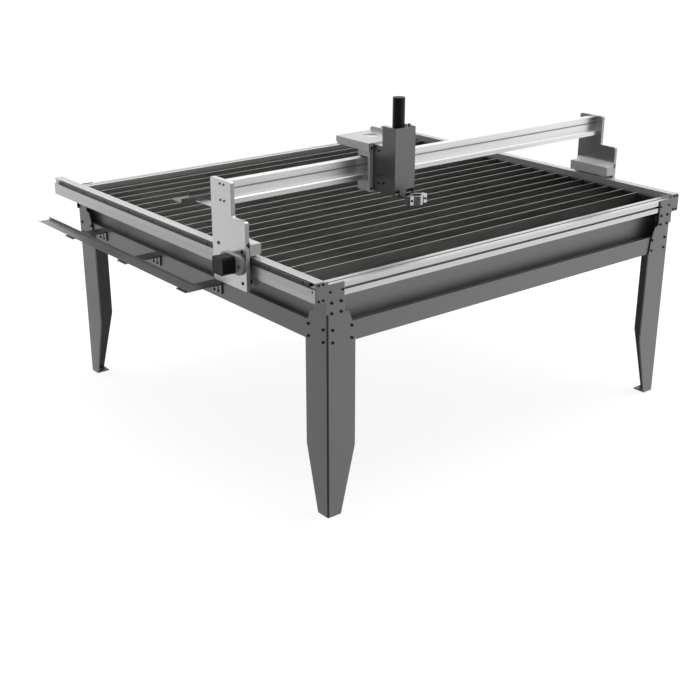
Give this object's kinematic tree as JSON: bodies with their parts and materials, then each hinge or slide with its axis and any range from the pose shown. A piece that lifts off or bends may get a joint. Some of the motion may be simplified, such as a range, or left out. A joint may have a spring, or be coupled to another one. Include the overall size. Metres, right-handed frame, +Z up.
{
  "type": "cnc plasma cutting table",
  "caption": "Sheet-metal table with a slat bed over a slag tray; a gantry on side rails and a carriage with a torch lifter move a clamp over the whole bed.",
  "frame": {"origin": "on the floor, at the centre of the four anchor holes in the foot plates", "axes": "+X along the gantry beam and the slats, +Y along the rails away from the operator, +Z up"},
  "size_m": [1.998, 1.767, 1.283],
  "materials": {
    "leg_paint": "satin powder coat",
    "apron_paint": "satin powder coat",
    "tray_paint": "satin powder coat",
    "comb_steel": "satin powder coat",
    "cable_tray_paint": "satin powder coat",
    "profile_aluminium": "clear anodised extrusion",
    "rail_aluminium": "clear anodised extrusion",
    "rack_steel": "oiled",
    "black_bolts": "black oxide",
    "slat_steel": "mill scale",
    "plate_aluminium": "milled plate",
    "beam_aluminium": "clear anodised extrusion",
    "motor_black": "satin black",
    "sheet_light": "rolled sheet",
    "roller_dark": "ground, oiled",
    "carriage_aluminium": "milled plate",
    "glide_plastic": "matt",
    "housing_paint": "satin powder coat",
    "rod_steel": "ground"
  },
  "bodies": {
    "frame": {"leg_front_left": "leg_paint", "leg_front_right": "leg_paint", "leg_rear_left": "leg_paint", "leg_rear_right": "leg_paint", "foot_plates": "leg_paint", "apron_front": "apron_paint", "apron_rear": "apron_paint", "apron_left": "apron_paint", "apron_right": "apron_paint", "cross_beam_front": "profile_aluminium", "cross_beam_rear": "profile_aluminium", "rail_left": "rail_aluminium", "rail_right": "rail_aluminium", "rack_left": "rack_steel", "rack_right": "rack_steel", "rack_screws": "black_bolts", "slag_tray": "tray_paint", "slat_combs": "comb_steel", "slats": "slat_steel", "corner_brackets": "tray_paint", "frame_bolts": "black_bolts", "cable_tray": "cable_tray_paint", "tray_brackets": "cable_tray_paint"},
    "gantry": {"gantry_plate_left": "plate_aluminium", "gantry_plate_right": "plate_aluminium", "gantry_beam": "beam_aluminium", "cross_rack": "rack_steel", "bearing_blocks": "plate_aluminium", "drive_motor_left": "motor_black", "drive_motor_right": "motor_black", "motor_mounts": "plate_aluminium", "roller_axles": "black_bolts", "gantry_bolts": "black_bolts", "chain_arm": "sheet_light", "chain_channel": "sheet_light"},
    "roller_1": {"roller_1": "roller_dark"},
    "roller_2": {"roller_2": "roller_dark"},
    "roller_3": {"roller_3": "roller_dark"},
    "roller_4": {"roller_4": "roller_dark"},
    "roller_5": {"roller_5": "roller_dark"},
    "roller_6": {"roller_6": "roller_dark"},
    "roller_7": {"roller_7": "roller_dark"},
    "roller_8": {"roller_8": "roller_dark"},
    "pinion_left": {"pinion_left": "rack_steel"},
    "pinion_right": {"pinion_right": "rack_steel"},
    "carriage": {"carriage_plate": "carriage_aluminium", "carriage_lid": "sheet_light", "carriage_blocks": "carriage_aluminium", "glide_pads": "glide_plastic", "cross_motor": "motor_black", "lift_housing": "housing_paint", "guide_rods": "rod_steel", "lift_motor": "motor_black", "carriage_bolts": "black_bolts"},
    "cross_pinion": {"cross_pinion": "rack_steel"},
    "lift_screw": {"lift_screw": "rod_steel"},
    "torch_slide": {"slide_block": "carriage_aluminium", "torch_arm": "carriage_aluminium", "clamp_cap": "carriage_aluminium", "clamp_screws": "black_bolts"}
  },
  "joints": [
    {"name": "gantry_travel", "type": "slide", "parent": "frame", "child": "gantry", "axis": [0, 1, 0], "range_m": [-0.305, 1.22]},
    {"name": "carriage_travel", "type": "slide", "parent": "gantry", "child": "carriage", "axis": [1, 0, 0], "range_m": [-0.56, 1.07]},
    {"name": "torch_height", "type": "slide", "parent": "carriage", "child": "torch_slide", "axis": [0, 0, 1], "range_m": [-0.08, 0]},
    {"name": "roller_1_spin", "type": "hinge", "parent": "gantry", "child": "roller_1", "pos_m": [-0.883, -0.464, 0.849], "axis": [1, 0, 0], "continuous": true},
    {"name": "roller_2_spin", "type": "hinge", "parent": "gantry", "child": "roller_2", "pos_m": [-0.883, -0.327, 0.849], "axis": [1, 0, 0], "continuous": true},
    {"name": "roller_3_spin", "type": "hinge", "parent": "gantry", "child": "roller_3", "pos_m": [-0.883, -0.464, 0.741], "axis": [1, 0, 0], "continuous": true},
    {"name": "roller_4_spin", "type": "hinge", "parent": "gantry", "child": "roller_4", "pos_m": [-0.883, -0.327, 0.741], "axis": [1, 0, 0], "continuous": true},
    {"name": "roller_5_spin", "type": "hinge", "parent": "gantry", "child": "roller_5", "pos_m": [0.883, -0.464, 0.849], "axis": [1, 0, 0], "continuous": true},
    {"name": "roller_6_spin", "type": "hinge", "parent": "gantry", "child": "roller_6", "pos_m": [0.883, -0.327, 0.849], "axis": [1, 0, 0], "continuous": true},
    {"name": "roller_7_spin", "type": "hinge", "parent": "gantry", "child": "roller_7", "pos_m": [0.883, -0.464, 0.741], "axis": [1, 0, 0], "continuous": true},
    {"name": "roller_8_spin", "type": "hinge", "parent": "gantry", "child": "roller_8", "pos_m": [0.883, -0.327, 0.741], "axis": [1, 0, 0], "continuous": true},
    {"name": "pinion_left_spin", "type": "hinge", "parent": "gantry", "child": "pinion_left", "pos_m": [-0.905, -0.406, 0.7988], "axis": [1, 0, 0], "continuous": true},
    {"name": "pinion_right_spin", "type": "hinge", "parent": "gantry", "child": "pinion_right", "pos_m": [0.905, -0.406, 0.7988], "axis": [1, 0, 0], "continuous": true},
    {"name": "cross_pinion_spin", "type": "hinge", "parent": "carriage", "child": "cross_pinion", "pos_m": [-0.241, -0.3, 1.036], "axis": [0, 0, 1], "continuous": true},
    {"name": "lift_screw_spin", "type": "hinge", "parent": "carriage", "child": "lift_screw", "pos_m": [-0.277, -0.486, 1.05], "axis": [0, 0, 1], "continuous": true}
  ],
  "couplings": [
    {"joint": "roller_1_spin", "follows": "gantry_travel", "rad_per_m": -50.761},
    {"joint": "roller_2_spin", "follows": "gantry_travel", "rad_per_m": -50.761},
    {"joint": "roller_3_spin", "follows": "gantry_travel", "rad_per_m": 50.761},
    {"joint": "roller_4_spin", "follows": "gantry_travel", "rad_per_m": 50.761},
    {"joint": "roller_5_spin", "follows": "gantry_travel", "rad_per_m": -50.761},
    {"joint": "roller_6_spin", "follows": "gantry_travel", "rad_per_m": -50.761},
    {"joint": "roller_7_spin", "follows": "gantry_travel", "rad_per_m": 50.761},
    {"joint": "roller_8_spin", "follows": "gantry_travel", "rad_per_m": 50.761},
    {"joint": "pinion_left_spin", "follows": "gantry_travel", "rad_per_m": 71.429},
    {"joint": "pinion_right_spin", "follows": "gantry_travel", "rad_per_m": 71.429},
    {"joint": "cross_pinion_spin", "follows": "carriage_travel", "rad_per_m": -45.455},
    {"joint": "lift_screw_spin", "follows": "torch_height", "rad_per_m": -785.4}
  ]
}
